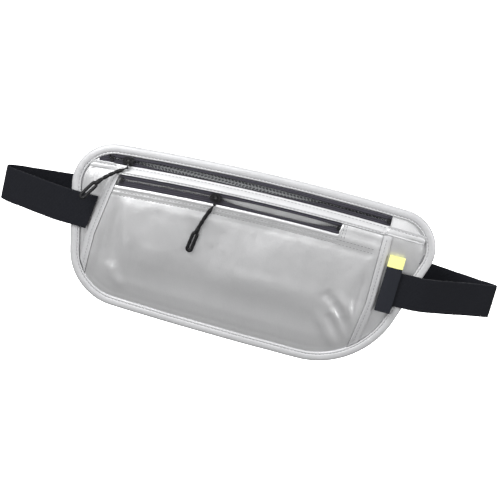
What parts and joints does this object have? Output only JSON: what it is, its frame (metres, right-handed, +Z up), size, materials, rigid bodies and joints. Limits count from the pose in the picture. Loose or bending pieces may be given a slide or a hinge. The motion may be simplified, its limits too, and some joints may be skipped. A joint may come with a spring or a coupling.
{
  "type": "money belt",
  "caption": "Flat waist pouch with two zipped pockets, bound edge, elastic strap and side-release buckle.",
  "frame": {"origin": "centre of the back panel's flat rear face, the side that lies against the waist", "axes": "pouch upright: +Z up, front towards -Y, +X to the right of someone facing the front; the strap loop and buckle are behind the pouch, towards +Y"},
  "size_m": [0.4116, 0.0922, 0.1424],
  "materials": {
    "silver_fabric": "satin",
    "mesh_lining": "matte",
    "zip_tape": "matte",
    "zip_coil": "satin",
    "slider_metal": "satin",
    "pull_cord": "satin",
    "webbing": "matte",
    "buckle_plastic": "matte",
    "tab_fabric": "matte"
  },
  "bodies": {
    "pouch": {"back_panel": "mesh_lining", "middle_panel": "silver_fabric", "front_panel": "silver_fabric", "left_hem": "silver_fabric", "right_hem": "silver_fabric", "zip_strip": "silver_fabric", "edge_binding": "silver_fabric", "rear_zip_lower_tape": "zip_tape", "rear_zip_upper_tape": "zip_tape", "rear_zip_lower_coil": "zip_coil", "rear_zip_upper_coil": "zip_coil", "rear_zip_left_stop": "slider_metal", "rear_zip_right_stop": "slider_metal", "front_zip_lower_tape": "zip_tape", "front_zip_upper_tape": "zip_tape", "front_zip_lower_coil": "zip_coil", "front_zip_upper_coil": "zip_coil", "front_zip_left_stop": "slider_metal", "front_zip_right_stop": "slider_metal", "side_tab": "tab_fabric", "left_strap": "webbing", "right_strap": "webbing", "buckle_socket": "buckle_plastic"},
    "rear_slider_body": {"rear_slider": "slider_metal"},
    "rear_link_body": {"rear_pull_link": "slider_metal"},
    "rear_pull_body": {"rear_pull": "pull_cord"},
    "front_slider_body": {"front_slider": "slider_metal"},
    "front_link_body": {"front_pull_link": "slider_metal"},
    "front_pull_body": {"front_pull": "pull_cord"},
    "plug_body": {"buckle_plug": "buckle_plastic", "plug_webbing": "webbing"},
    "upper_arm_body": {"upper_squeeze_arm": "buckle_plastic"},
    "lower_arm_body": {"lower_squeeze_arm": "buckle_plastic"},
    "adjuster_body": {"strap_adjuster": "buckle_plastic"}
  },
  "joints": [
    {"name": "rear_zip_travel", "type": "hinge", "parent": "pouch", "child": "rear_slider_body", "pos_m": [0.04, 0, -1.75], "axis": [0, 1, 0], "range_deg": [-0.22, 6.44]},
    {"name": "rear_pull_lift", "type": "hinge", "parent": "rear_slider_body", "child": "rear_link_body", "pos_m": [-0.10534, -0.0103, 0.05375], "axis": [-0.9968, 0, -0.0803], "range_deg": [0, 130]},
    {"name": "rear_pull_swing", "type": "hinge", "parent": "rear_link_body", "child": "rear_pull_body", "pos_m": [-0.10497, -0.01201, 0.04907], "axis": [0.0275, 0.9397, -0.3409], "range_deg": [-38, 7]},
    {"name": "front_zip_travel", "type": "hinge", "parent": "pouch", "child": "front_slider_body", "pos_m": [0.04, 0, -1.75], "axis": [0, 1, 0], "range_deg": [-2.2, 2.95]},
    {"name": "front_pull_lift", "type": "hinge", "parent": "front_slider_body", "child": "front_link_body", "pos_m": [-0.03198, -0.0149, 0.04336], "axis": [-0.9992, 0, -0.0401], "range_deg": [0, 150]},
    {"name": "front_pull_swing", "type": "hinge", "parent": "front_link_body", "child": "front_pull_body", "pos_m": [-0.03178, -0.0149, 0.03836], "axis": [0, 1, 0], "range_deg": [-50, 35]},
    {"name": "buckle_release", "type": "slide", "parent": "pouch", "child": "plug_body", "axis": [1, 0, 0], "range_m": [0, 0.032], "deforming": ["upper_squeeze_arm", "lower_squeeze_arm"]},
    {"name": "upper_squeeze", "type": "hinge", "parent": "plug_body", "child": "upper_arm_body", "pos_m": [-0.01195, 0.06455, 0.0186], "axis": [0, -1, 0], "range_deg": [0, 10], "stiffness_Nm_per_rad": 0.1},
    {"name": "lower_squeeze", "type": "hinge", "parent": "plug_body", "child": "lower_arm_body", "pos_m": [-0.01195, 0.06455, -0.0066], "axis": [0, 1, 0], "range_deg": [0, 10], "stiffness_Nm_per_rad": 0.1},
    {"name": "strap_adjust", "type": "slide", "parent": "plug_body", "child": "adjuster_body", "axis": [1, 0, 0], "range_m": [-0.008, 0.008]}
  ],
  "couplings": [
    {"joint": "lower_squeeze", "follows": "upper_squeeze", "ratio": 1}
  ]
}
